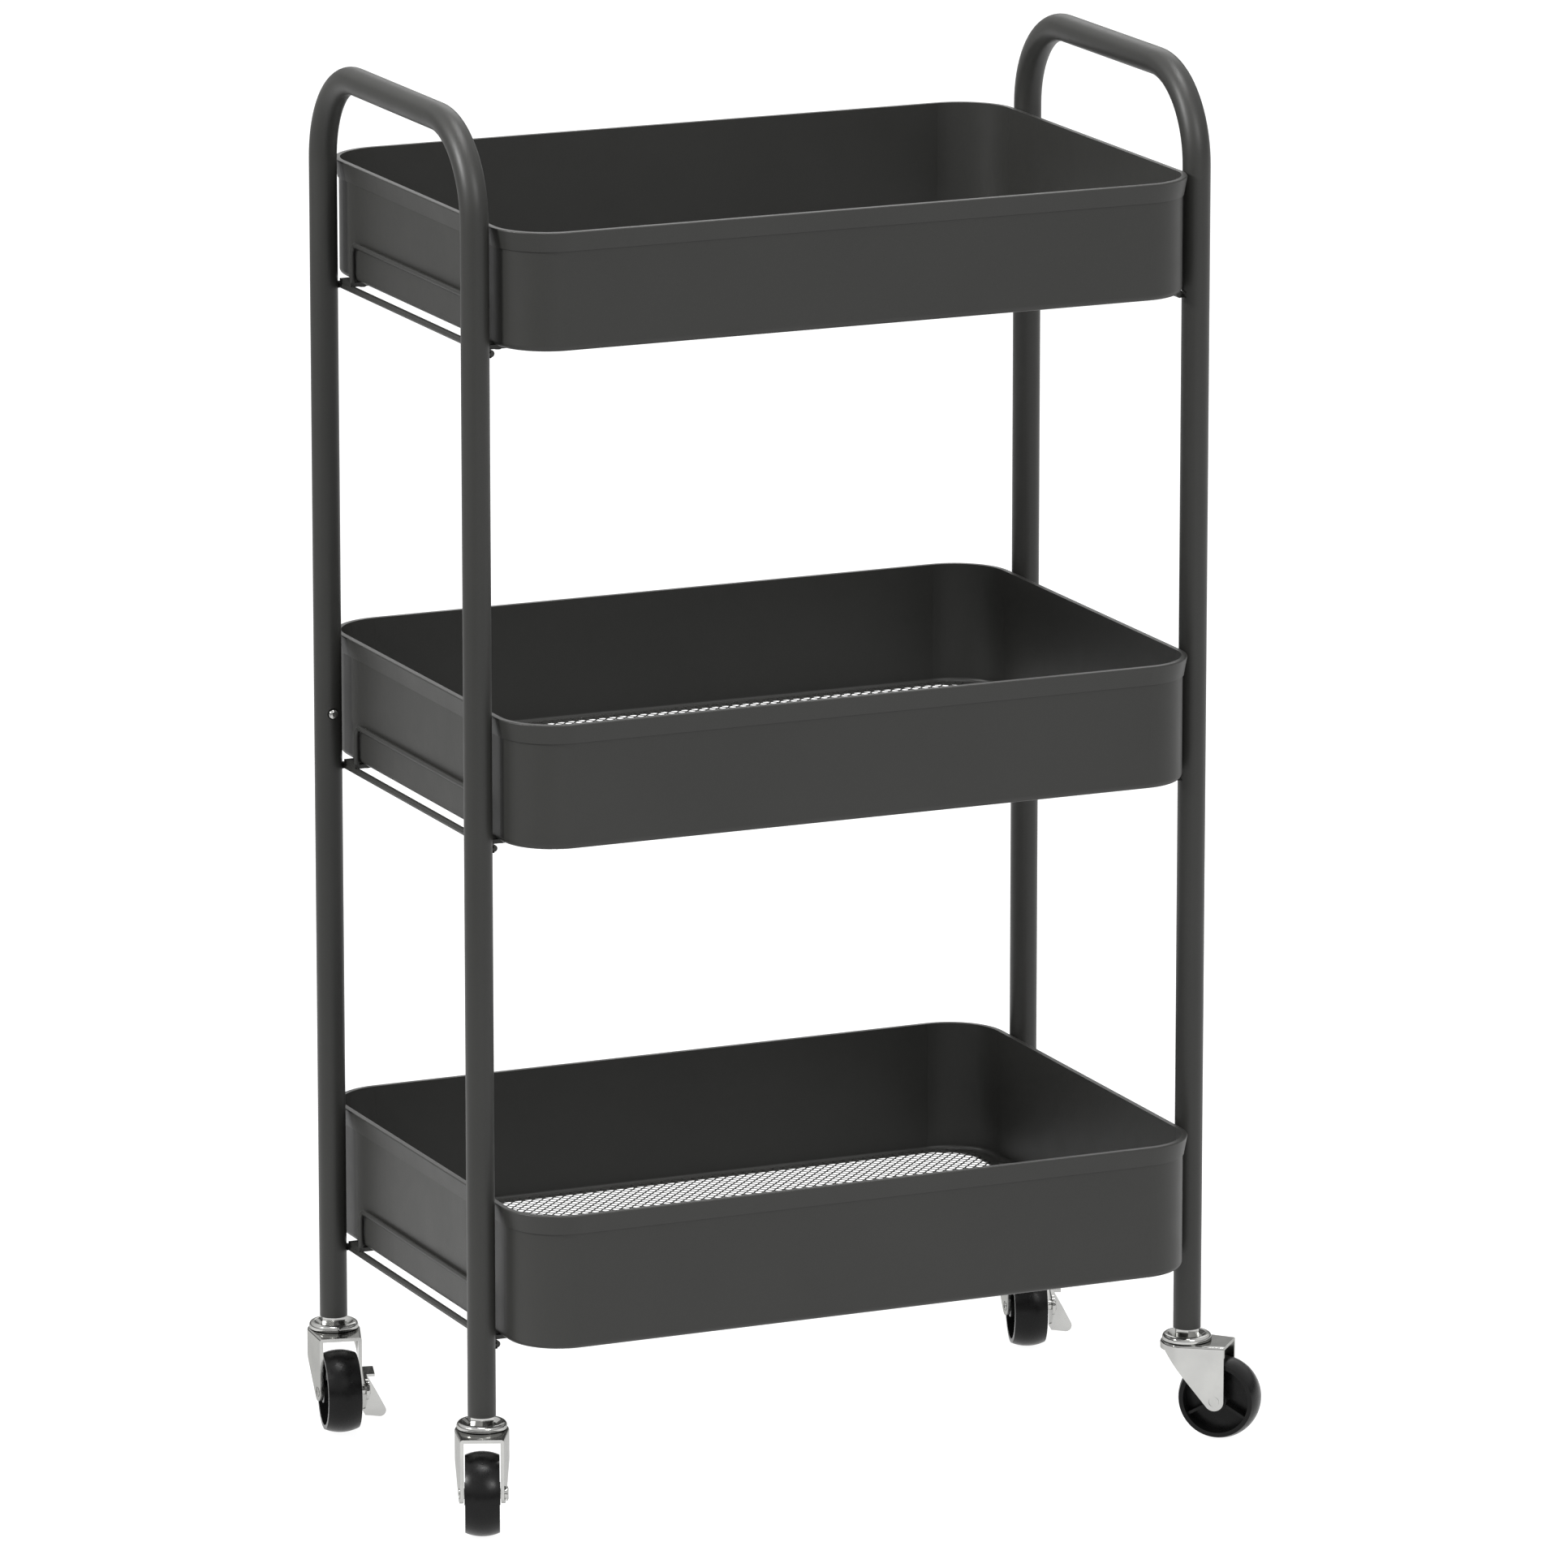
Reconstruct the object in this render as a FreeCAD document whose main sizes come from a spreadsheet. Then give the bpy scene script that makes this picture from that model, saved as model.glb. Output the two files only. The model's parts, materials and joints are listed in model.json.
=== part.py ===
"""Three-tier rolling utility cart.

Two welded end frames carry three sheet-metal baskets with mesh floors, and four swivel casters
carry the frames. The baskets share one length and grow in depth and height from top to bottom,
so that they nest when packed.

Frame: millimetres, +Z up, +X along the cart, -Y to its front. The origin is on the floor, under
the middle of the four posts.
"""
import FreeCAD, Part
import math
import os
import Sketcher
from FreeCAD import Placement, Rotation, Vector

TIERS = ("top", "middle", "bottom")
SIDES = {"left": -1, "right": 1}
# Each corner: which end of the cart, which side of it, and where its caster trails to, in
# degrees from +X. The rear pair has brakes.
CORNERS = {
    "front_left": {"side": -1, "depth": -1, "heading": "heading_front_left", "braked": False},
    "front_right": {"side": 1, "depth": -1, "heading": "heading_front_right", "braked": False},
    "rear_left": {"side": -1, "depth": 1, "heading": "heading_rear_left", "braked": True},
    "rear_right": {"side": 1, "depth": 1, "heading": "heading_rear_right", "braked": True},
}
SIZES = {
    # end frames
    "post_diameter": 16,
    "post_wall": 1,
    "post_spacing_x": 440.6,
    "post_spacing_y": 223.6,
    "post_foot": 64,
    "joint_height": 400.5,
    "handle_height": 795.9,
    "handle_bend": 52,
    "drain_diameter": 4,
    "swage_length": 34,
    "swage_clearance": 0.1,
    # snap buttons
    "button_height": 422.8,
    "button_diameter": 5.8,
    "button_clearance": 0.3,
    "button_proud": 2.2,
    "button_dome": 1.9,
    "spring_width": 5,
    "spring_span": 6.8,
    "spring_length": 32,
    "spring_sheet": 0.5,
    # baskets
    "top_floor": 675,
    "middle_floor": 394.8,
    "bottom_floor": 108.3,
    "top_depth": 291,
    "middle_depth": 300.6,
    "bottom_depth": 311,
    "top_tall": 67.1,
    "middle_tall": 71.6,
    "bottom_tall": 78.1,
    "basket_length": 422.8,
    "basket_sheet": 0.8,
    "basket_corner": 32,
    "basket_bend": 3.4,
    "end_lip": 11.6,
    "side_lip": 5,
    "opening_corner": 24,
    "rim_flare": 2.7,
    "rim_step": 0.7,
    "rim_tall": 11,
    "rim_round": 0.7,
    "mesh_sheet": 1,
    "mesh_overlap": 1.3,
    # wire brackets under and beside each basket's ends
    "rod_diameter": 4,
    "rod_length": 223,
    "hoop_diameter": 3.2,
    "hoop_spacing": 185,
    "hoop_rise": 22.2,
    "hoop_bend": 6,
    "weld_depth": 0.3,
    "tab_thick": 2.4,
    "tab_wide": 17,
    "tab_reach": 19,
    "tab_offset": 99.5,
    "screw_diameter": 4,
    "screw_head": 6.4,
    "screw_head_tall": 2.2,
    "screw_length": 5,
    "screw_inset": 6.9,
    # casters
    "wheel_radius": 24,
    "wheel_width": 19.5,
    "wheel_rim": 4.6,
    "wheel_web": 3,
    "wheel_rib": 1.6,
    "wheel_ribs": 3,
    "wheel_turn": 30,
    "hub_radius": 6.5,
    "hub_width": 20.2,
    "axle_diameter": 6,
    "axle_clearance": 0.05,
    "trail": 20,
    "fork_top": 56.8,
    "fork_sheet": 2,
    "fork_cup_radius": 15.4,
    "fork_half_width": 12.3,
    "fork_low": 16,
    "fork_back": 25.5,
    "fork_lobe": 5.5,
    "fork_skirt": 52.2,
    "fork_edge": 9.8,
    "fork_round": 1.6,
    "race_radius": 14.3,
    "race_base": 57.2,
    "race_dish": 58.6,
    "race_top": 60.6,
    "ball_diameter": 2,
    "ball_circle": 11.4,
    "ball_count": 14,
    "stud_diameter": 8,
    "stud_top": 88,
    "rivet_radius": 6.4,
    "rivet_low": 53,
    "rivet_clearance": 0.2,
    "nut_flats": 13,
    "socket_length": 24,
    "lever_sheet": 1.5,
    "lever_gap": 14.9,
    "lever_eye": 6,
    "lever_step": 8.5,
    "lever_tab_top": 34.4,
    "lever_tab_reach": 6.4,
    "lever_toe_reach": 10.2,
    "lever_toe_low": 4.2,
    "lever_toe_round": 3.6,
    "heading_front_left": -112.4,
    "heading_front_right": -41.6,
    "heading_rear_left": -102.6,
    "heading_rear_right": -107,
}

doc = FreeCAD.newDocument("rolling_cart")
sheet = doc.addObject("Spreadsheet::Sheet", "Cart")
for row, (alias, number) in enumerate(SIZES.items(), start=1):
    sheet.set(f"A{row}", alias)
    sheet.set(f"B{row}", str(number))
    sheet.setAlias(f"B{row}", alias)
doc.recompute()
parts = {}


# ---- helpers ----

def value(expression):
    """The number that an expression over the sheet's cells gives."""
    return float(sheet.evalExpression(str(expression)))


def bind(thing, **properties):
    """Binds each named property of an object to an expression over the sheet's cells."""
    for name, expression in properties.items():
        thing.setExpression(name, str(expression))
    return thing


def keep(label, thing, placement=None):
    """Records a finished sub-part under its label and puts it in its place."""
    thing.Label = label
    if placement is not None:
        thing.Placement = placement
    parts[label] = thing
    return thing


def new_body(label):
    body = doc.addObject("PartDesign::Body", label + "_body")
    return body


def sketch_on(body, plane, name, offset=None):
    """An empty sketch on one of the body's own origin planes, lifted along its normal by offset."""
    sketch = body.newObject("Sketcher::SketchObject", name)
    planes = [f for f in body.Origin.OriginFeatures if f.Role == plane]
    sketch.AttachmentSupport = [(planes[0], "")]
    sketch.MapMode = "FlatFace"
    if offset is not None:
        sketch.setExpression(".AttachmentOffset.Base.z", offset)
    return sketch


def pin_point(sketch, geometry, end, across, up):
    """Fixes one end of a sketch element at a point given by two expressions."""
    for kind, axis, expression in (("DistanceX", -2, across), ("DistanceY", -1, up)):
        if str(expression) == "0":
            sketch.addConstraint(Sketcher.Constraint("PointOnObject", geometry, end, axis))
            continue
        number = value(expression)
        index = sketch.addConstraint(Sketcher.Constraint(kind, -1, 1, geometry, end, number))
        sketch.setExpression(f"Constraints[{index}]", str(expression))


def outline(sketch, corners):
    """A closed outline of straight lines whose corners are pairs of expressions."""
    points = [Vector(value(across), value(up), 0) for across, up in corners]
    for start, end in zip(points, points[1:] + points[:1]):
        sketch.addGeometry(Part.LineSegment(start, end))
    for index, (across, up) in enumerate(corners):
        following = (index + 1) % len(corners)
        sketch.addConstraint(Sketcher.Constraint("Coincident", index, 2, following, 1))
        pin_point(sketch, index, 1, across, up)


def circle(sketch, across, up, radius):
    """A circle whose centre and radius are expressions."""
    centre = Vector(value(across), value(up), 0)
    index = sketch.addGeometry(Part.Circle(centre, Vector(0, 0, 1), value(radius)))
    pin_point(sketch, index, 3, across, up)
    size = sketch.addConstraint(Sketcher.Constraint("Radius", index, value(radius)))
    sketch.setExpression(f"Constraints[{size}]", str(radius))


def rounded_rectangle(sketch, half_x, half_y, radius):
    """A rectangle about the sketch's origin, with one radius at its corners."""
    a, b, r = value(half_x), value(half_y), value(radius)
    lines = (
        ((-a + r, -b), (a - r, -b)),
        ((a, -b + r), (a, b - r)),
        ((a - r, b), (-a + r, b)),
        ((-a, b - r), (-a, -b + r)),
    )
    centres = ((a - r, -b + r), (a - r, b - r), (-a + r, b - r), (-a + r, -b + r))
    for start, end in lines:
        sketch.addGeometry(Part.LineSegment(Vector(*start, 0), Vector(*end, 0)))
    for quarter, centre in enumerate(centres):
        begin = math.radians(90 * (quarter - 1))
        arc = Part.Circle(Vector(*centre, 0), Vector(0, 0, 1), r)
        sketch.addGeometry(Part.ArcOfCircle(arc, begin, begin + math.pi / 2))
    for side in range(4):
        corner, following = 4 + side, (side + 1) % 4
        sketch.addConstraint(Sketcher.Constraint("Tangent", side, 2, corner, 1))
        sketch.addConstraint(Sketcher.Constraint("Tangent", corner, 2, following, 1))
        sketch.addConstraint(Sketcher.Constraint("Vertical" if side % 2 else "Horizontal", side))
        if side:
            sketch.addConstraint(Sketcher.Constraint("Equal", 4, corner))
    size = sketch.addConstraint(Sketcher.Constraint("Radius", 4, r))
    sketch.setExpression(f"Constraints[{size}]", str(radius))
    for kind, side, sign, half in (("DistanceY", 0, -1, half_y), ("DistanceX", 1, 1, half_x),
                                   ("DistanceY", 2, 1, half_y), ("DistanceX", 3, -1, half_x)):
        index = sketch.addConstraint(Sketcher.Constraint(kind, -1, 1, side, 1, sign * value(half)))
        sketch.setExpression(f"Constraints[{index}]", f"{sign} * ({half})")


def hoop_path(sketch, half_width, foot, top, bend):
    """An upside-down U: two legs, a bar over them and a bend at each corner."""
    w, low, high, r = value(half_width), value(foot), value(top), value(bend)
    sketch.addGeometry(Part.LineSegment(Vector(-w, low, 0), Vector(-w, high - r, 0)))
    sketch.addGeometry(Part.LineSegment(Vector(-w + r, high, 0), Vector(w - r, high, 0)))
    sketch.addGeometry(Part.LineSegment(Vector(w, high - r, 0), Vector(w, low, 0)))
    for centre, begin in ((-w + r, math.pi / 2), (w - r, 0)):
        arc = Part.Circle(Vector(centre, high - r, 0), Vector(0, 0, 1), r)
        sketch.addGeometry(Part.ArcOfCircle(arc, begin, begin + math.pi / 2))
    for line, line_end, arc, arc_end in ((0, 2, 3, 2), (1, 1, 3, 1), (1, 2, 4, 2), (2, 1, 4, 1)):
        sketch.addConstraint(Sketcher.Constraint("Tangent", line, line_end, arc, arc_end))
    sketch.addConstraint(Sketcher.Constraint("Equal", 3, 4))
    size = sketch.addConstraint(Sketcher.Constraint("Radius", 3, r))
    sketch.setExpression(f"Constraints[{size}]", str(bend))
    pin_point(sketch, 0, 1, f"-({half_width})", foot)
    pin_point(sketch, 2, 2, half_width, foot)
    sketch.addConstraint(Sketcher.Constraint("Vertical", 0))
    sketch.addConstraint(Sketcher.Constraint("Vertical", 2))
    rise = sketch.addConstraint(Sketcher.Constraint("DistanceY", -1, 1, 1, 1, high))
    sketch.setExpression(f"Constraints[{rise}]", str(top))


def bent_bar(body, half_width, foot, top, bend, radii):
    """A tube or wire bent along hoop_path, in the body's YZ plane."""
    path = sketch_on(body, "YZ_Plane", "Path")
    hoop_path(path, half_width, foot, top, bend)
    section = sketch_on(body, "XY_Plane", "Section", offset=foot)
    for radius in radii:
        circle(section, "0", f"-({half_width})", radius)
    doc.recompute()
    pipe = body.newObject("PartDesign::AdditivePipe", "Pipe")
    pipe.Profile = section
    pipe.Spine = path
    doc.recompute()
    return pipe


def edges_where(feature, test):
    """The names of a feature's edges that pass a test."""
    return [f"Edge{i}" for i, edge in enumerate(feature.Shape.Edges, start=1) if test(edge)]


def at_height(height, tolerance=0.01):
    """A test for edges that lie at one height."""
    return lambda edge: all(abs(v.Z - height) < tolerance for v in edge.Vertexes) and (
        abs(edge.BoundBox.ZMax - edge.BoundBox.ZMin) < tolerance)


def round_edges(body, feature, radius, test):
    """Adds a fillet on the feature's edges that pass the test."""
    fillet = body.newObject("PartDesign::Fillet", "Round")
    fillet.Base = (feature, edges_where(feature, test))
    bind(fillet, Radius=radius)
    doc.recompute()
    return fillet


def pad(body, sketch, length, midplane=False):
    feature = body.newObject("PartDesign::Pad", "Pad")
    feature.Profile = sketch
    feature.Midplane = midplane
    bind(feature, Length=length)
    doc.recompute()
    return feature


def pocket(body, sketch, length, midplane=False, upward=False):
    """Cuts the sketch away and checks that something was cut."""
    before = body.Tip.Shape.Volume
    feature = body.newObject("PartDesign::Pocket", "Pocket")
    feature.Profile = sketch
    feature.Midplane = midplane
    feature.Reversed = upward
    bind(feature, Length=length)
    doc.recompute()
    if feature.Shape.Volume > before - 1e-6:
        raise RuntimeError(f"{body.Name}: a pocket cut nothing")
    return feature


def turned(label, corners):
    """A body of revolution about Z, from (radius, height) corners."""
    body = new_body(label)
    profile = sketch_on(body, "XZ_Plane", "Profile")
    outline(profile, corners)
    doc.recompute()
    revolution = body.newObject("PartDesign::Revolution", "Revolution")
    revolution.Profile = profile
    revolution.ReferenceAxis = (profile, ["V_Axis"])
    revolution.Angle = 360
    doc.recompute()
    return body


def group(label, shape, placements):
    """Identical separate solids as one sub-part."""
    copies = []
    for placement in placements:
        copy = shape.copy()
        copy.Placement = placement
        copies.append(copy)
    feature = doc.addObject("Part::Feature", label)
    feature.Shape = Part.makeCompound(copies)
    return keep(label, feature)


def corner_point(corner, height=0.0):
    facts = CORNERS[corner]
    return Vector(facts["side"] * value("Cart.post_spacing_x / 2"),
                  facts["depth"] * value("Cart.post_spacing_y / 2"), height)


def caster_place(corner):
    """A caster's own frame: its stem on Z, trailing along +X, its left along +Y."""
    heading = value("Cart." + CORNERS[corner]["heading"])
    return Placement(corner_point(corner), Rotation(Vector(0, 0, 1), heading))


def floor_height(tier):
    return f"Cart.{tier}_floor"


# ---- end frames ----

def handle_frame(side):
    """A post, the handle and the other post, bent from one tube."""
    body = new_body(f"{side}_handle_frame")
    half = "Cart.post_spacing_y / 2"
    outer = "Cart.post_diameter / 2"
    bent_bar(body, half, "Cart.joint_height", "Cart.handle_height", "Cart.handle_bend",
             (outer, f"{outer} - Cart.post_wall"))
    holes = sketch_on(body, "XZ_Plane", "ButtonHoles")
    circle(holes, "0", "Cart.button_height", "Cart.button_diameter / 2 + Cart.button_clearance")
    pocket(body, holes, "Cart.post_spacing_y", midplane=True)
    drain = sketch_on(body, "XY_Plane", "Drain", offset=f"Cart.handle_height - {outer} - 1")
    circle(drain, "0", "0", "Cart.drain_diameter / 2")
    pocket(body, drain, f"{outer} + 1", upward=True)
    place = Vector(SIDES[side] * value("Cart.post_spacing_x / 2"), 0, 0)
    keep(f"{side}_handle_frame", body, Placement(place, Rotation()))


def lower_post(corner):
    """A straight tube whose swaged top slips into the handle frame above it."""
    outer = "Cart.post_diameter / 2"
    inner = f"{outer} - Cart.post_wall"
    neck = f"{inner} - Cart.swage_clearance"
    neck_bore = f"{neck} - Cart.post_wall"
    top = "Cart.joint_height + Cart.swage_length"
    body = turned(f"{corner}_post", (
        (inner, "Cart.post_foot"),
        (outer, "Cart.post_foot"),
        (outer, "Cart.joint_height"),
        (neck, "Cart.joint_height"),
        (neck, top),
        (neck_bore, top),
        (neck_bore, "Cart.joint_height - Cart.post_wall"),
        (inner, "Cart.joint_height - Cart.post_wall"),
    ))
    hole = sketch_on(body, "XZ_Plane", "ButtonHole")
    circle(hole, "0", "Cart.button_height", "Cart.button_diameter / 2 + Cart.button_clearance")
    pocket(body, hole, "Cart.post_diameter", midplane=True)
    keep(f"{corner}_post", body, Placement(corner_point(corner), Rotation()))


def snap_button(corner):
    """The sprung button that locks a post in its handle frame, facing the other post."""
    radius = "Cart.button_diameter / 2"
    base = "Cart.spring_span / 2 + 0.05"
    tip = "Cart.post_diameter / 2 + Cart.button_proud"
    dome = "Cart.button_dome"
    body = turned(f"{corner}_snap_button", (
        ("0", base), (radius, base), (radius, tip), ("0", tip)))
    round_edges(body, body.Tip, dome, at_height(value(tip)))
    turn = Rotation(Vector(1, 0, 0), 90 * CORNERS[corner]["depth"])
    keep(f"{corner}_snap_button", body,
         Placement(corner_point(corner, value("Cart.button_height")), turn))


def snap_spring(corner):
    """The U-shaped leaf spring behind a snap button, inside the post's neck."""
    outer = bind(doc.addObject("Part::Box", "SpringOuter"), Length="Cart.spring_width",
                 Width="Cart.spring_span", Height="Cart.spring_length")
    inner = bind(doc.addObject("Part::Box", "SpringInner"), Length="Cart.spring_width + 2",
                 Width="Cart.spring_span - 2 * Cart.spring_sheet",
                 Height="Cart.spring_length")
    inner.Placement.Base = Vector(-1, value("Cart.spring_sheet"), value("Cart.spring_sheet"))
    leaf = doc.addObject("Part::Cut", "Spring")
    leaf.Base, leaf.Tool = outer, inner
    low = value("Cart.button_height + 5 - Cart.spring_length")
    corner_of_leaf = Vector(-value("Cart.spring_width / 2"), -value("Cart.spring_span / 2"), low)
    keep(f"{corner}_snap_spring", leaf,
         Placement(corner_point(corner) + corner_of_leaf, Rotation()))


# ---- baskets ----

def basket(tier):
    """A pressed tray: bent floor edge, straight wall and a folded, flared rim."""
    half_x = "Cart.basket_length / 2 - Cart.rim_flare"
    half_y = f"Cart.{tier}_depth / 2 - Cart.rim_flare"
    tall = f"Cart.{tier}_tall"
    corner = "Cart.basket_corner"
    body = new_body(f"{tier}_basket")
    wall = sketch_on(body, "XY_Plane", "Wall")
    rounded_rectangle(wall, half_x, half_y, corner)
    pad(body, wall, tall)
    fold = sketch_on(body, "XY_Plane", "RimFold", offset=f"{tall} - Cart.rim_tall")
    rounded_rectangle(fold, f"{half_x} + Cart.rim_step", f"{half_y} + Cart.rim_step",
                      f"{corner} + Cart.rim_step")
    lip = sketch_on(body, "XY_Plane", "RimLip", offset=tall)
    rounded_rectangle(lip, f"{half_x} + Cart.rim_flare", f"{half_y} + Cart.rim_flare",
                      f"{corner} + Cart.rim_flare")
    doc.recompute()
    flare = body.newObject("PartDesign::AdditiveLoft", "Flare")
    flare.Profile = fold
    flare.Sections = [lip]
    flare.Ruled = True
    doc.recompute()
    rim_edge = value(half_y) + value("Cart.rim_flare / 2")
    round_edges(body, flare, "Cart.rim_round",
                lambda edge: at_height(value(tall))(edge) and not inside(edge, rim_edge, half_x))
    hollow = sketch_on(body, "XY_Plane", "Hollow", offset="Cart.basket_sheet")
    rounded_rectangle(hollow, f"{half_x} - Cart.basket_sheet", f"{half_y} - Cart.basket_sheet",
                      f"{corner} - Cart.basket_sheet")
    inside_cut = pocket(body, hollow, f"{tall}", upward=True)
    inner_bend = round_edges(body, inside_cut, "Cart.basket_bend - Cart.basket_sheet",
                             at_height(value("Cart.basket_sheet")))
    round_edges(body, inner_bend, "Cart.basket_bend", at_height(0))
    opening = sketch_on(body, "XY_Plane", "FloorOpening")
    rounded_rectangle(opening, f"{half_x} - Cart.end_lip", f"{half_y} - Cart.side_lip",
                      "Cart.opening_corner")
    pocket(body, opening, "2 * Cart.basket_sheet", upward=True)
    holes = sketch_on(body, "XY_Plane", "ScrewHoles")
    for side in (-1, 1):
        for depth in (-1, 1):
            circle(holes, f"{side} * ({half_x} - Cart.screw_inset)",
                   f"{depth} * Cart.tab_offset", "Cart.screw_diameter / 2 + 0.1")
    pocket(body, holes, "2 * Cart.basket_sheet", upward=True)
    keep(f"{tier}_basket", body, Placement(Vector(0, 0, value(floor_height(tier))), Rotation()))


def inside(edge, half_depth, half_x):
    """Whether an edge lies within a rectangle of those half sizes."""
    box = edge.BoundBox
    return max(abs(box.YMin), abs(box.YMax)) < half_depth and (
        max(abs(box.XMin), abs(box.XMax)) < value(half_x) + value("Cart.rim_flare / 2"))


def mesh_floor(tier):
    """The mesh panel on the floor's lip, drawn as a plain sheet of its outer size."""
    body = new_body(f"{tier}_mesh_floor")
    panel = sketch_on(body, "XY_Plane", "Panel")
    inset = "- Cart.rim_flare + Cart.mesh_overlap"
    rounded_rectangle(panel, f"Cart.basket_length / 2 - Cart.end_lip {inset}",
                      f"Cart.{tier}_depth / 2 - Cart.side_lip {inset}",
                      "Cart.opening_corner + Cart.mesh_overlap")
    pad(body, panel, "Cart.mesh_sheet")
    height = value(f"{floor_height(tier)} + Cart.basket_sheet")
    keep(f"{tier}_mesh_floor", body, Placement(Vector(0, 0, height), Rotation()))


def screws_of(tier):
    """Four pan-head screws that hold a basket down on its brackets' tabs."""
    radius = "Cart.screw_diameter / 2"
    head = "Cart.screw_head / 2"
    tall = "Cart.screw_head_tall"
    screw = turned(f"{tier}_screw", (
        ("0", "-Cart.screw_length"), (radius, "-Cart.screw_length"), (radius, "0"), (head, "0"),
        (head, f"{tall} / 2"), (f"{head} - {tall} / 2", tall), ("0", tall)))
    across = value("Cart.basket_length / 2 - Cart.rim_flare - Cart.screw_inset")
    depth = value("Cart.tab_offset")
    height = value(f"{floor_height(tier)} + Cart.basket_sheet")
    places = [Placement(Vector(x, y, height), Rotation())
              for x in (-across, across) for y in (-depth, depth)]
    group(f"{tier}_basket_screws", screw.Shape, places)


# ---- wire brackets ----

def bracket(tier, side):
    """A rod from post to post, a hoop on it against the basket's end, and two screw tabs."""
    sign = SIDES[side]
    body = new_body(f"{tier}_{side}_bracket")
    rod_radius = "Cart.rod_diameter / 2"
    rod_height = f"-(Cart.tab_thick + {rod_radius} - Cart.weld_depth)"
    bent_bar(body, "Cart.hoop_spacing / 2", rod_height, "Cart.hoop_rise", "Cart.hoop_bend",
             ("Cart.hoop_diameter / 2",))
    rod = sketch_on(body, "XZ_Plane", "Rod")
    circle(rod, "0", rod_height, rod_radius)
    pad(body, rod, "Cart.rod_length", midplane=True)
    for depth in (-1, 1):
        tab = sketch_on(body, "XY_Plane", "Tab", offset="-Cart.tab_thick")
        near = f"{-sign} * Cart.tab_reach"
        far = f"{sign} * {rod_radius} * 0.8"
        back = f"{depth} * Cart.tab_offset - Cart.tab_wide / 2"
        front = f"{depth} * Cart.tab_offset + Cart.tab_wide / 2"
        outline(tab, ((far, back), (near, back), (near, front), (far, front)))
        tab_pad = pad(body, tab, "Cart.tab_thick")
        tip = value(near)
        round_edges(body, tab_pad, "Cart.tab_wide / 3",
                    lambda edge: is_tab_corner(edge, tip, depth))
    across = value("Cart.post_spacing_x / 2 - Cart.post_diameter / 2 - Cart.rod_diameter / 2"
                   " + Cart.weld_depth")
    inset = value("Cart.basket_length / 2 - Cart.rim_flare - Cart.screw_inset")
    holes = sketch_on(body, "XY_Plane", "TabHoles")
    for depth in (-1, 1):
        circle(holes, str(sign * (inset - across)), f"{depth} * Cart.tab_offset",
               "Cart.screw_diameter / 2")
    pocket(body, holes, "Cart.tab_thick + 1")
    height = value(floor_height(tier))
    body.Placement = Placement(Vector(sign * across, 0, height), Rotation())
    doc.recompute()
    welded = doc.addObject("Part::Cut", f"{tier}_{side}_coped")
    welded.Base = body
    welded.Tool = post_pair(side)
    keep(f"{tier}_{side}_bracket", welded)


def is_tab_corner(edge, tip, depth):
    """Whether an edge is an upright corner at a tab's inner end."""
    box = edge.BoundBox
    upright = box.ZMax - box.ZMin > value("Cart.tab_thick") - 0.01 and (
        box.XMax - box.XMin < 0.01 and box.YMax - box.YMin < 0.01)
    return upright and abs(box.XMin - tip) < 0.01 and box.YMin * depth > 0


def post_pair(side):
    """The two posts of one end as plain cylinders, to shape what is welded to them."""
    pair = doc.addObject("Part::MultiFuse", f"{side}_post_pair")
    posts = []
    for depth in (-1, 1):
        post = bind(doc.addObject("Part::Cylinder", "PlainPost"),
                    Radius="Cart.post_diameter / 2", Height="Cart.handle_height")
        post.Placement.Base = Vector(SIDES[side] * value("Cart.post_spacing_x / 2"),
                                     depth * value("Cart.post_spacing_y / 2"), 0)
        posts.append(post)
    pair.Shapes = posts
    doc.recompute()
    return pair


# ---- casters ----

def stem_sockets():
    """Threaded plugs pressed into the posts' feet."""
    bore = "Cart.stud_diameter / 2"
    plug = "Cart.post_diameter / 2 - Cart.post_wall"
    foot = "Cart.post_foot"
    body = turned("socket", (
        (bore, foot), (plug, foot), (plug, f"{foot} + Cart.socket_length"),
        (bore, f"{foot} + Cart.socket_length")))
    group("stem_sockets", body.Shape, [Placement(corner_point(c), Rotation()) for c in CORNERS])


def caster_nuts():
    """Hex nuts that lock the studs against the sockets."""
    body = new_body("nut")
    hexagon = sketch_on(body, "XY_Plane", "Hexagon", offset="Cart.race_dish")
    across_corners = "Cart.nut_flats / cos(30) / 2"
    outline(hexagon, [(f"{across_corners} * {math.cos(math.radians(60 * k + 10)):.6f}",
                       f"{across_corners} * {math.sin(math.radians(60 * k + 10)):.6f}")
                      for k in range(6)])
    pad(body, hexagon, "Cart.post_foot - Cart.race_dish")
    hole = sketch_on(body, "XY_Plane", "NutBore", offset="Cart.race_dish")
    circle(hole, "0", "0", "Cart.stud_diameter / 2")
    pocket(body, hole, "Cart.race_top", upward=True)
    group("caster_nuts", body.Shape, [Placement(corner_point(c), Rotation()) for c in CORNERS])


def caster_stud(corner):
    """The threaded stud, with the rivet head that hangs the fork under the race."""
    radius = "Cart.stud_diameter / 2"
    shelf = "Cart.fork_top - Cart.fork_sheet - Cart.rivet_clearance"
    body = turned(f"{corner}_caster_stud", (
        ("0", "Cart.rivet_low"), ("Cart.rivet_radius - 1", "Cart.rivet_low"),
        ("Cart.rivet_radius", "Cart.rivet_low + 0.8"), ("Cart.rivet_radius", shelf),
        (radius, shelf), (radius, "Cart.stud_top"), ("0", "Cart.stud_top")))
    keep(f"{corner}_caster_stud", body, Placement(corner_point(corner), Rotation()))


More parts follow.
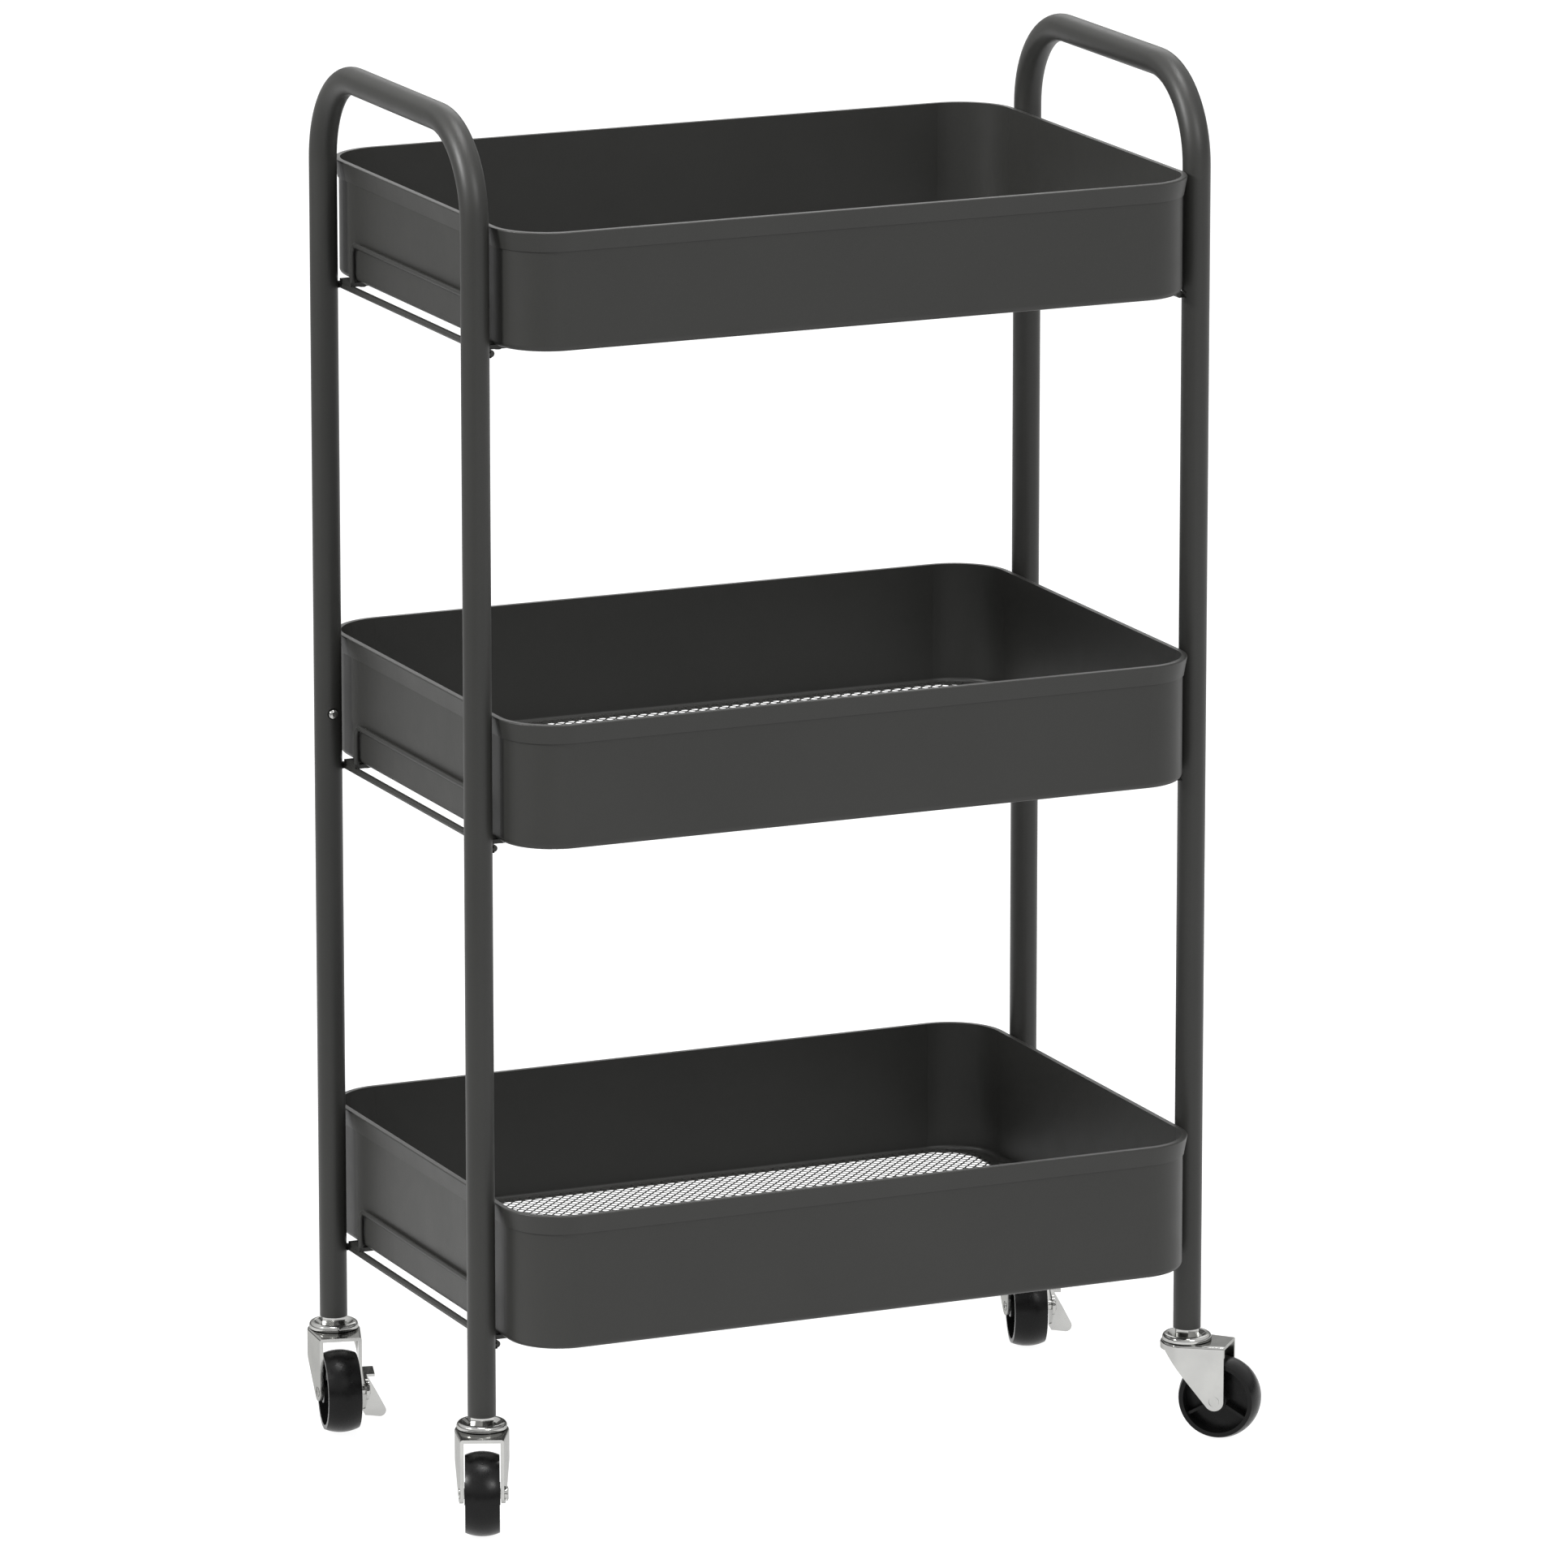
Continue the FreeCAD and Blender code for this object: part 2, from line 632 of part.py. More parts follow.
def swivel_race(corner):
    """The domed upper race, fixed on the stud, with a groove for the balls below."""
    bore = "Cart.stud_diameter / 2"
    groove_in = "Cart.ball_circle - Cart.ball_diameter / 2 - 0.2"
    groove_out = "Cart.ball_circle + Cart.ball_diameter / 2 + 0.2"
    roof = "Cart.fork_top + Cart.ball_diameter + 0.1"
    outer, base, top = "Cart.race_radius", "Cart.race_base", "Cart.race_top"
    body = turned(f"{corner}_swivel_race", (
        (bore, base), (groove_in, base), (groove_in, roof), (groove_out, roof),
        (groove_out, base), (outer, base), (outer, top), (f"{groove_in} + 1", top),
        ("Cart.nut_flats / 2 + 2", "Cart.race_dish"), (bore, "Cart.race_dish")))
    rim = at_height(value(top))
    outside = round_edges(body, body.Tip, "2.2", lambda edge: rim(edge) and (
        edge.BoundBox.XLength > 2 * value(outer) - 0.1))
    round_edges(body, outside, "0.6", lambda edge: rim(edge) and (
        edge.BoundBox.XLength < 2 * value(outer) - 4.5))
    keep(f"{corner}_swivel_race", body, Placement(corner_point(corner), Rotation()))


def bearing_balls():
    """A ring of balls in each caster's race."""
    count = int(value("Cart.ball_count"))
    height = value("Cart.fork_top + Cart.ball_diameter / 2 + 0.05")
    ball = Part.makeSphere(value("Cart.ball_diameter / 2"))
    places = []
    for corner in CORNERS:
        for step in range(count):
            angle = 2 * math.pi * step / count
            arm = Vector(math.cos(angle), math.sin(angle), 0) * value("Cart.ball_circle")
            places.append(Placement(corner_point(corner, height) + arm, Rotation()))
    group("bearing_balls", ball, places)


def fork_plan(skin, reach=0.0):
    """The fork's plan, taken in by skin: a round cup, and straight sides that close in on it."""
    cup = value("Cart.fork_cup_radius") - skin
    back, wide = value("Cart.fork_back"), value("Cart.fork_half_width") - skin
    turn = math.atan2(wide, back) + math.acos(cup / math.hypot(back, wide))
    near = Vector(cup * math.cos(turn), cup * math.sin(turn), 0)
    far = Vector(back, wide, 0)
    far += (far - near) * (reach / (back - near.x))
    mirrored = [Vector(point.x, -point.y, 0) for point in (near, far)]
    nose = Part.Arc(mirrored[0], Vector(-cup, 0, 0), near).toShape()
    return Part.Face(Part.Wire([Part.makeLine(mirrored[1], mirrored[0]), nose,
                                Part.makeLine(near, far), Part.makeLine(far, mirrored[1])]))


def fork_side(width):
    """The fork seen from its side: a shallow skirt, a sloping front, a round lobe at the axle."""
    lobe = value("Cart.fork_lobe")
    axle = Vector(value("Cart.trail"), 0, value("Cart.wheel_radius"))
    skirt = Vector(-value("Cart.fork_edge"), 0, value("Cart.fork_skirt"))
    front = -value("Cart.fork_cup_radius + 1")
    back, top = value("Cart.fork_back + 1"), value("Cart.fork_top + 1")
    run = axle - skirt
    slope = math.atan2(run.z, run.x) - math.asin(lobe / run.Length)
    touch = axle + Vector(math.sin(slope), 0, -math.cos(slope)) * lobe
    shape = Part.makePolygon([Vector(front, 0, skirt.z), skirt, touch, axle,
                              Vector(back, 0, axle.z), Vector(back, 0, top),
                              Vector(front, 0, top), Vector(front, 0, skirt.z)])
    blank = Part.Face(shape).extrude(Vector(0, width, 0))
    eye = Part.makeCylinder(lobe, width, axle, Vector(0, 1, 0))
    side = blank.fuse(eye)
    side.translate(Vector(0, -width / 2, 0))
    return side


def fork(corner):
    """A pressed fork: a round cup over the race, a flat top behind it and two straight legs."""
    sheet_thick = value("Cart.fork_sheet")
    top, low = value("Cart.fork_top"), value("Cart.fork_low")
    outside = fork_plan(0).extrude(Vector(0, 0, top - low))
    outside.translate(Vector(0, 0, low))
    crown = [edge for edge in outside.Edges if edge.BoundBox.ZMin > top - 0.01
             and edge.BoundBox.XMin < value("Cart.fork_back") - 0.01]
    outside = outside.makeFillet(value("Cart.fork_round"), crown)
    hollow = fork_plan(sheet_thick, reach=5).extrude(Vector(0, 0, top - sheet_thick - low + 5))
    hollow.translate(Vector(0, 0, low - 5))
    shell = outside.cut(hollow).common(fork_side(4 * value("Cart.fork_cup_radius")))
    king = Part.makeCylinder(value("Cart.stud_diameter / 2") + 0.3, 20, Vector(0, 0, top - 10))
    axle_height = Vector(value("Cart.trail"), -20, value("Cart.wheel_radius"))
    bore = Part.makeCylinder(value("Cart.axle_diameter / 2"), 40, axle_height, Vector(0, 1, 0))
    shape = shell.cut(king).cut(bore).removeSplitter()
    if len(shape.Solids) != 1:
        raise RuntimeError(f"{corner}_fork: {len(shape.Solids)} solids")
    feature = doc.addObject("Part::Feature", f"{corner}_fork")
    feature.Shape = shape.Solids[0]
    keep(f"{corner}_fork", feature, caster_place(corner))


def across_caster(corner, reach=0.0):
    """A caster's axle line: its own Z runs along the caster's left."""
    frame = caster_place(corner)
    point = Vector(value("Cart.trail"), reach, value("Cart.wheel_radius"))
    return frame.multiply(Placement(point, Rotation(Vector(1, 0, 0), -90)))


def wheel(corner):
    """A one-piece wheel: a tread crowned like a ball, a thin web, a hub and ribs."""
    bore = "Cart.axle_diameter / 2 + Cart.axle_clearance"
    half, hub = "Cart.wheel_width / 2", "Cart.hub_width / 2"
    rim = "Cart.wheel_radius - Cart.wheel_rim"
    web = "Cart.wheel_web / 2"
    body = turned(f"{corner}_wheel", (
        (bore, f"-{hub}"), ("Cart.hub_radius", f"-{hub}"), ("Cart.hub_radius", f"-{web}"),
        (rim, f"-{web}"), (rim, f"-{half}"), ("Cart.wheel_radius", f"-{half}"),
        ("Cart.wheel_radius", half), (rim, half), (rim, web), ("Cart.hub_radius", web),
        ("Cart.hub_radius", hub), (bore, hub)))
    rib_sketch = sketch_on(body, "XY_Plane", "Rib")
    outline(rib_sketch, (("Cart.hub_radius - 0.5", "-Cart.wheel_rib / 2"),
                         (f"{rim} + 0.5", "-Cart.wheel_rib / 2"),
                         (f"{rim} + 0.5", "Cart.wheel_rib / 2"),
                         ("Cart.hub_radius - 0.5", "Cart.wheel_rib / 2")))
    rib = pad(body, rib_sketch, "Cart.wheel_width - 4", midplane=True)
    pattern = body.newObject("PartDesign::PolarPattern", "Ribs")
    pattern.Originals = [rib]
    pattern.Axis = (rib_sketch, ["N_Axis"])
    pattern.Angle = 360
    pattern.Occurrences = int(value("Cart.wheel_ribs"))
    body.Tip = pattern
    doc.recompute()
    crown = bind(doc.addObject("Part::Sphere", f"{corner}_tread_crown"),
                 Radius="Cart.wheel_radius")
    crowned = doc.addObject("Part::Common", f"{corner}_crowned_wheel")
    crowned.Base, crowned.Tool = body, crown
    doc.recompute()
    turn = Placement(Vector(), Rotation(Vector(0, 0, 1), value("Cart.wheel_turn")))
    keep(f"{corner}_wheel", crowned, across_caster(corner).multiply(turn))


def axle(corner):
    """The axle rivet: flush on the right of the caster, with a round head on its left."""
    radius = "Cart.axle_diameter / 2"
    leg = "Cart.fork_half_width + 1.3"
    tail = "Cart.fork_half_width + 0.7"
    shelf = "Cart.lever_gap + Cart.lever_sheet + 0.1" if CORNERS[corner]["braked"] else leg
    head = "Cart.axle_diameter / 2 + 1.2"
    body = turned(f"{corner}_axle", (
        ("0", f"-({tail})"), (radius, f"-({tail})"), (radius, shelf), (head, shelf),
        (head, f"{shelf} + 0.5"), (f"{head} - 1.2", f"{shelf} + 1.1"), ("0", f"{shelf} + 1.1")))
    keep(f"{corner}_axle", body, across_caster(corner))


def plate(corners, thickness):
    """A flat plate from corner points, thickened along a vector."""
    points = [Vector(*corner) for corner in corners]
    return Part.Face(Part.makePolygon(points + points[:1])).extrude(Vector(*thickness))


def brake_lever(corner):
    """A pressed lever on the axle: an arm beside the leg, a flared foot pad and a release tab."""
    thick, gap = value("Cart.lever_sheet"), value("Cart.lever_gap")
    trail, centre = value("Cart.trail"), value("Cart.wheel_radius")
    step, eye = value("Cart.lever_step"), value("Cart.lever_eye")
    tab_top, low = value("Cart.lever_tab_top"), value("Cart.lever_toe_low")
    toe, round_toe = gap + value("Cart.lever_toe_reach"), value("Cart.lever_toe_round")
    tab_end = gap + value("Cart.lever_tab_reach")
    disc = Part.makeCylinder(eye, thick, Vector(trail, gap, centre), Vector(0, 1, 0))
    arm = plate(((step, gap, low + 4), (step, gap, tab_top), (step + 7, gap, tab_top - 2.8),
                 (trail + 0.7 * eye, gap, centre + 0.71 * eye),
                 (trail, gap, centre - eye), (step + 3, gap, low + 6)), (0, thick, 0))
    tab = plate(((step, gap, tab_top), (step + 7, gap, tab_top - 2.8),
                 (step + 7, gap, tab_top - 2.8 - thick), (step, gap, tab_top - thick)),
                (0, tab_end - gap, 0))
    pad_low = low + round_toe
    pad = plate(((step, gap, centre + eye - 1), (step, gap + 3.2, centre + eye - 1.4),
                 (step, gap + 8, 20), (step, toe + round_toe * 0.9, pad_low + round_toe * 0.45),
                 (step, toe, low), (step, gap + 1.5, low + 1.2), (step, gap, low + 4)),
                (thick, 0, 0))
    toe_round = Part.makeCylinder(round_toe, thick, Vector(step, toe, pad_low), Vector(1, 0, 0))
    lever = disc.multiFuse([arm, tab, pad, toe_round]).removeSplitter()
    bore = Part.makeCylinder(value("Cart.axle_diameter / 2 + Cart.axle_clearance"), 40,
                             Vector(trail, 0, centre), Vector(0, 1, 0))
    feature = doc.addObject("Part::Feature", f"{corner}_brake_lever")
    feature.Shape = lever.cut(bore)
    keep(f"{corner}_brake_lever", feature, caster_place(corner))


# ---- the cart ----

for side in SIDES:
    handle_frame(side)
for corner in CORNERS:
    lower_post(corner)
    snap_button(corner)
    snap_spring(corner)
for tier in TIERS:
    basket(tier)
    mesh_floor(tier)
    screws_of(tier)
    for side in SIDES:
        bracket(tier, side)
stem_sockets()
caster_nuts()
bearing_balls()
for corner, facts in CORNERS.items():
    caster_stud(corner)
    swivel_race(corner)
    fork(corner)
    axle(corner)
    wheel(corner)
    if facts["braked"]:
        brake_lever(corner)
doc.recompute()

for thing in doc.Objects:
    if "Invalid" in thing.State or "Error" in thing.State:
        raise RuntimeError(f"{thing.Name} ({thing.Label}) failed: {thing.State}")
for label, thing in parts.items():
    shape = thing.Shape
    if shape.isNull() or not shape.isValid() or not shape.Solids:
        raise RuntimeError(f"{label}: its shape is null, not valid or not solid")

os.makedirs("parts", exist_ok=True)
for label, thing in parts.items():
    thing.Shape.exportStep(f"parts/{label}.step")
print(len(parts), "sub-parts written")
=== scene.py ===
"""Studio view of the rolling cart: materials, mesh floors, welds and lights on the CAD frame."""
import bmesh
import bpy
import json
import math
import random
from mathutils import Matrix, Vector


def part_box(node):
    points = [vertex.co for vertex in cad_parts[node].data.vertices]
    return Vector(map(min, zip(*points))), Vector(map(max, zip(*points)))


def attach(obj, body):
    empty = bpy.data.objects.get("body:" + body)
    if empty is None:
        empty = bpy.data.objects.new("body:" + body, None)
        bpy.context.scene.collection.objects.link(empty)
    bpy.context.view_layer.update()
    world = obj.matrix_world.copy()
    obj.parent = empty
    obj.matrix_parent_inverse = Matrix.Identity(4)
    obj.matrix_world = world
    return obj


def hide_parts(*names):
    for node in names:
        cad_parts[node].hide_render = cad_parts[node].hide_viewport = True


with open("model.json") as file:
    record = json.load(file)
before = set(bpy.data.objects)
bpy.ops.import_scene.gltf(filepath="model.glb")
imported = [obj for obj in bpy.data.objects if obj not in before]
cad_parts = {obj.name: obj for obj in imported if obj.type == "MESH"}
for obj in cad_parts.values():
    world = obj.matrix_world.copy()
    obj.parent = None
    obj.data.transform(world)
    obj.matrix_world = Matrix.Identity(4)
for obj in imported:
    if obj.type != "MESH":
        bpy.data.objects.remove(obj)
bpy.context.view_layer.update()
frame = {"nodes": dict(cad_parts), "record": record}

TIERS = ("top", "middle", "bottom")
SIDES = {"left": -1, "right": 1}

# Camera: looks over the cart's front left corner, with a long lens from about 6.5 metres.
CAMERA_PLACE = (-2.603, -5.873, 1.911)
CAMERA_AZIMUTH = 24.03     # degrees clockwise from +Y
CAMERA_PITCH = 13.38       # degrees down
CAMERA_LENS = 265.1        # mm on a 36 mm sensor

# Expanded metal, in metres
CELL = 0.0065              # from one opening to the next, along the row
STRAND = 0.0008            # width of a strand
KNUCKLE = 0.0009           # half the length of the joint between two openings
STRAND_THICK = 0.0004
STRAND_TILT = 0.00008      # how far stretching lifts one side of an opening and lowers the other
PANEL_CORNER = 0.0253
PANEL_EDGE = 0.024         # cells nearer than this to the panel's side are cut to its outline
MERGE = 0.00002            # points closer than this become one

# Wire brackets, in metres: where the CAD's rods, hoops and tabs meet
ROD_RADIUS = 0.002
HOOP_FOOT = 0.0925         # from the middle of the cart, along Y
TAB_MIDDLE = 0.0995

# Welds, in metres: a run is its length, width and height
POST_RUN = (0.0065, 0.0018, 0.0016)
POST_RUN_OUT = 0.0014      # from the rod's middle, outwards and up or down
TAB_RUN = (0.014, 0.0016, 0.0014)
TAB_RUN_IN = 0.0016
TAB_RUN_UP = 0.0009
HOOP_RING = (0.0014, 0.0007)  # radius of the ring, and half the size of its bead
HOOP_RING_UP = 0.0018

# Studio
FLOOR_SIZE = 12            # from the middle to each side, in metres
FLOOR_GLOW = 0.96          # near 1, so that the floor is plain white to the camera
FLOOR_GLOW_LEFT = 0.3      # dimmer to the left, where it mirrors in the baskets' left ends
FLOOR_FADE = (-1.15, -0.45)  # X where the dimmer floor ends and the plain white starts
WORLD_STRENGTH = 0.9
# (sine of the height over the horizon, brightness)
WORLD_BANDS = ((0.0, 0.75), (0.06, 0.22), (0.2, 0.30), (0.34, 1.0), (0.75, 1.15), (1.0, 0.8))
LIGHT_TARGET = (0, 0, 0.4)
LIGHTS = (
    # name, place, size, watts
    ("key", (-3.2, 0.0, 2.55), 0.4, 140),
    ("front", (0.4, -3.8, 3.0), 1.4, 68),
    ("back", (1.6, 3.0, 2.8), 2.2, 25),
    ("top", (0.0, 0.0, 4.0), 1.2, 80),
)


# ---- helpers ----

def linked(name, made):
    """Turns a bmesh into an object in the scene."""
    mesh = bpy.data.meshes.new(name)
    made.to_mesh(mesh)
    made.free()
    thing = bpy.data.objects.new(mesh.name, mesh)
    bpy.context.collection.objects.link(thing)
    return thing


class Shader:
    """A material with a Principled shader, and short ways to add and join nodes."""

    def __init__(self, name, **sockets):
        self.material = bpy.data.materials.new(name)
        self.material.use_nodes = True
        self.tree = self.material.node_tree
        self.shader = self.tree.nodes["Principled BSDF"]
        for socket, number in sockets.items():
            self.shader.inputs[socket.replace("_", " ")].default_value = number
        self.place = self.node("ShaderNodeTexCoord").outputs["Object"]

    def node(self, kind, **settings):
        made = self.tree.nodes.new(kind)
        for name, setting in settings.items():
            setattr(made, name, setting)
        return made

    def join(self, source, target):
        self.tree.links.new(source, target)

    def noise(self, scale, detail=3.0, roughness=0.5):
        made = self.node("ShaderNodeTexNoise")
        self.join(self.place, made.inputs["Vector"])
        made.inputs["Scale"].default_value = scale
        made.inputs["Detail"].default_value = detail
        made.inputs["Roughness"].default_value = roughness
        return made.outputs["Fac"]

    def spread(self, source, low, high, from_low=0.3, from_high=0.7):
        """Maps one range of a pattern's numbers to another."""
        made = self.node("ShaderNodeMapRange")
        made.inputs["From Min"].default_value = from_low
        made.inputs["From Max"].default_value = from_high
        made.inputs["To Min"].default_value = low
        made.inputs["To Max"].default_value = high
        self.join(source, made.inputs["Value"])
        return made.outputs["Result"]

    def colours(self, source, *stops):
        """A colour ramp over (position, (r, g, b)) stops."""
        ramp = self.node("ShaderNodeValToRGB")
        elements = ramp.color_ramp.elements
        while len(elements) < len(stops):
            elements.new(0.5)
        for element, (position, colour) in zip(elements, stops):
            element.position = position
            element.color = (*colour, 1)
        self.join(source, ramp.inputs["Fac"])
        return ramp.outputs["Color"]

    def mix(self, factor, first, colour):
        """Blends a joined colour towards a plain (r, g, b) one."""
        made = self.node("ShaderNodeMix", data_type="RGBA")
        self.join(factor, made.inputs["Factor"])
        self.join(first, made.inputs["A"])
        made.inputs["B"].default_value = (*colour, 1)
        return made.outputs["Result"]

    def bump(self, source, height, strength, under=None):
        made = self.node("ShaderNodeBump")
        made.inputs["Distance"].default_value = height
        made.inputs["Strength"].default_value = strength
        self.join(source, made.inputs["Height"])
        if under is not None:
            self.join(under, made.inputs["Normal"])
        return made.outputs["Normal"]

    def colour(self, source):
        self.join(source, self.shader.inputs["Base Color"])

    def rough(self, source):
        self.join(source, self.shader.inputs["Roughness"])

    def normal(self, source):
        self.join(source, self.shader.inputs["Normal"])


# ---- materials ----

def powder_coat():
    """Charcoal powder coat: a fine-grained satin film with a faint orange peel."""
    coat = Shader("powder_coat", Roughness=0.45, Specular_IOR_Level=0.35)
    grain = coat.noise(2600, 2)
    patch = coat.noise(9, 3)
    base = coat.colours(patch, (0.3, (0.0195, 0.0195, 0.0180)),
                        (0.7, (0.0225, 0.0225, 0.0208)))
    speck = coat.spread(grain, 0, 0.35, 0.45, 0.8)
    coat.colour(coat.mix(speck, base, (0.036, 0.036, 0.034)))
    coat.rough(coat.spread(coat.noise(60, 4), 0.42, 0.46))
    peel = coat.bump(coat.noise(420, 2), 0.00008, 0.3)
    coat.normal(coat.bump(grain, 0.00005, 0.4, under=peel))
    return coat.material


def chrome():
    """Bright plating over pressed steel: slight waves, handling haze and hairline scratches."""
    plate = Shader("chrome", Metallic=1.0, Roughness=0.12, Specular_Tint=(0.55, 0.55, 0.54, 1))
    plate.colour(plate.colours(plate.noise(70, 3), (0.3, (0.45, 0.45, 0.44)),
                               (0.7, (0.50, 0.50, 0.485))))
    plate.rough(plate.spread(plate.noise(160, 5, 0.6), 0.08, 0.2))
    scratch = plate.node("ShaderNodeTexNoise")
    stretch = plate.node("ShaderNodeMapping")
    stretch.inputs["Scale"].default_value = (60, 900, 900)
    plate.join(plate.place, stretch.inputs["Vector"])
    plate.join(stretch.outputs["Vector"], scratch.inputs["Vector"])
    scratch.inputs["Scale"].default_value = 3
    waves = plate.bump(plate.noise(120, 1), 0.0002, 0.12)
    plate.normal(plate.bump(scratch.outputs["Fac"], 0.00002, 0.25, under=waves))
    return plate.material


def zinc():
    """Zinc-plated turned steel."""
    plate = Shader("zinc_steel", Metallic=1.0, Roughness=0.35)
    plate.colour(plate.colours(plate.noise(140, 4), (0.3, (0.50, 0.51, 0.53)),
                               (0.7, (0.63, 0.64, 0.66))))
    plate.rough(plate.spread(plate.noise(300, 4), 0.28, 0.45))
    plate.normal(plate.bump(plate.noise(1200, 2), 0.00004, 0.4))
    return plate.material


def spring_steel():
    """Plain rolled steel with a bluish cast from heat treatment."""
    steel = Shader("spring_steel", Metallic=1.0, Roughness=0.3)
    steel.colour(steel.colours(steel.noise(90, 4), (0.3, (0.36, 0.37, 0.40)),
                               (0.7, (0.50, 0.50, 0.51))))
    steel.rough(steel.spread(steel.noise(500, 3), 0.24, 0.4))
    steel.normal(steel.bump(steel.noise(1600, 2), 0.00003, 0.4))
    return steel.material


def wheel_plastic():
    """Black moulded plastic: a satin face with fine grey scuffs all over."""
    plastic = Shader("wheel_plastic", Roughness=0.28, Specular_IOR_Level=0.18)
    scuff = plastic.noise(240, 5, 0.65)
    base = plastic.colours(plastic.noise(40, 3), (0.3, (0.003, 0.003, 0.003)),
                           (0.7, (0.005, 0.005, 0.005)))
    plastic.colour(plastic.mix(plastic.spread(scuff, 0, 0.25, 0.58, 0.85), base,
                               (0.020, 0.020, 0.0195)))
    plastic.rough(plastic.spread(scuff, 0.22, 0.36))
    plastic.normal(plastic.bump(plastic.noise(1500, 2), 0.00004, 0.35))
    return plastic.material


MATERIALS = {"powder_coat": powder_coat(), "chrome": chrome(), "zinc_steel": zinc(),
             "spring_steel": spring_steel(), "wheel_plastic": wheel_plastic()}


def paint(thing, slot):
    """Gives every material slot of an object one of the finished materials."""
    if not thing.material_slots:
        thing.data.materials.append(MATERIALS[slot])
    for held in thing.material_slots:
        held.material = MATERIALS[slot]


# ---- expanded-metal floors ----

def panel_outline(low, high, radius, steps=8):
    """A rounded rectangle's corner points, anticlockwise."""
    points = []
    right, left = high.x - radius, low.x + radius
    back, front = high.y - radius, low.y + radius
    corners = ((right, front, -90), (right, back, 0), (left, back, 90), (left, front, 180))
    for x, y, start in corners:
        for step in range(steps + 1):
            angle = math.radians(start + 90 * step / steps)
            points.append((x + radius * math.cos(angle), y + radius * math.sin(angle)))
    return points


def clipped(polygon, outline):
    """The part of a convex polygon (x, y, z) inside a convex outline."""
    for (ax, ay), (bx, by) in zip(outline, outline[1:] + outline[:1]):
        def side(point):
            return (bx - ax) * (point[1] - ay) - (by - ay) * (point[0] - ax)
        kept = []
        for here, following in zip(polygon, polygon[1:] + polygon[:1]):
            a, b = side(here), side(following)
            if a >= 0:
                kept.append(here)
            if (a > 0) != (b > 0) and abs(a - b) > 1e-15:
                share = a / (a - b)
                kept.append(tuple(p + (q - p) * share for p, q in zip(here, following)))
        polygon = kept
        if len(polygon) < 3:
            return []
    return polygon


def cell_faces(x, y):
    """The strands round one opening, as convex faces that meet those of the next openings."""
    half = CELL / 2
    reach, tall = half - KNUCKLE, half - STRAND * 0.7
    blunt = KNUCKLE * 0.3
    left, right, top, low = (-half, 0, 0), (half, 0, 0), (0, half, 0), (0, -half, 0)
    up, down = (0, tall, STRAND_TILT), (0, -tall, -STRAND_TILT)
    left_up, left_down = (-reach, blunt, STRAND_TILT), (-reach, -blunt, -STRAND_TILT)
    right_up, right_down = (reach, blunt, STRAND_TILT), (reach, -blunt, -STRAND_TILT)
    faces = ((top, left, left_up, up), (right, top, up, right_up),
             (low, right, right_down, down), (left, low, down, left_down),
             (left, left_down, left_up), (right, right_up, right_down))
    return [[(x + a, y + b, c) for a, b, c in face] for face in faces]


def expanded_floor(tier):
    """The tier's mesh panel: slit and stretched sheet, cut to a rounded rectangle."""
    low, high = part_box(f"{tier}_mesh_floor")
    low, high = Vector(low), Vector(high)
    outline = panel_outline(low, high, PANEL_CORNER)
    made = bmesh.new()
    columns = math.ceil((high.x - low.x) / CELL) + 1
    rows = math.ceil((high.y - low.y) / CELL) + 1
    for row in range(-rows, rows + 1):
        for column in range(-columns // 2, columns // 2 + 1):
            x = (column + (0.5 if row % 2 else 0)) * CELL
            y = row * CELL / 2
            if abs(x) > high.x + CELL or abs(y) > high.y + CELL:
                continue
            edge = abs(x) > high.x - PANEL_EDGE or abs(y) > high.y - PANEL_EDGE
            for face in cell_faces(x, y):
                points = clipped(face, outline) if edge else face
                if points:
                    made.faces.new([made.verts.new(p) for p in points])
    bmesh.ops.remove_doubles(made, verts=made.verts, dist=MERGE)
    bmesh.ops.dissolve_degenerate(made, edges=made.edges, dist=MERGE)
    loose = [v for v in made.verts if not v.link_faces]
    bmesh.ops.delete(made, geom=loose, context="VERTS")
    middle = (low.z + high.z) / 2
    for vertex in made.verts:
        vertex.co.z += middle
    bmesh.ops.recalc_face_normals(made, faces=made.faces)
    floor = linked(f"{tier}_expanded_floor", made)
    thicken = floor.modifiers.new("thickness", "SOLIDIFY")
    thicken.thickness = STRAND_THICK
    thicken.offset = 0
    paint(floor, "powder_coat")
    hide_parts(f"{tier}_mesh_floor")
    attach(floor, "frame")


# ---- welds ----

def bead_ring(made, centre, axis, radius, bead, rng):
    """A lumpy ring of weld metal round a wire."""
    axis = Vector(axis).normalized()
    side = axis.orthogonal().normalized()
    other = axis.cross(side)
    around, across = 24, 6
    rings = []
    for i in range(around):
        angle = 2 * math.pi * i / around
        out = side * math.cos(angle) + other * math.sin(angle)
        size = bead * rng.uniform(0.85, 1.2)
        rings.append([made.verts.new(Vector(centre) + out * (radius + size * 0.6 * math.cos(turn))
                                     + axis * size * math.sin(turn))
                      for turn in (2 * math.pi * j / across for j in range(across))])
    for here, following in zip(rings, rings[1:] + rings[:1]):
        for j in range(across):
            k = (j + 1) % across
            made.faces.new((here[j], here[k], following[k], following[j]))


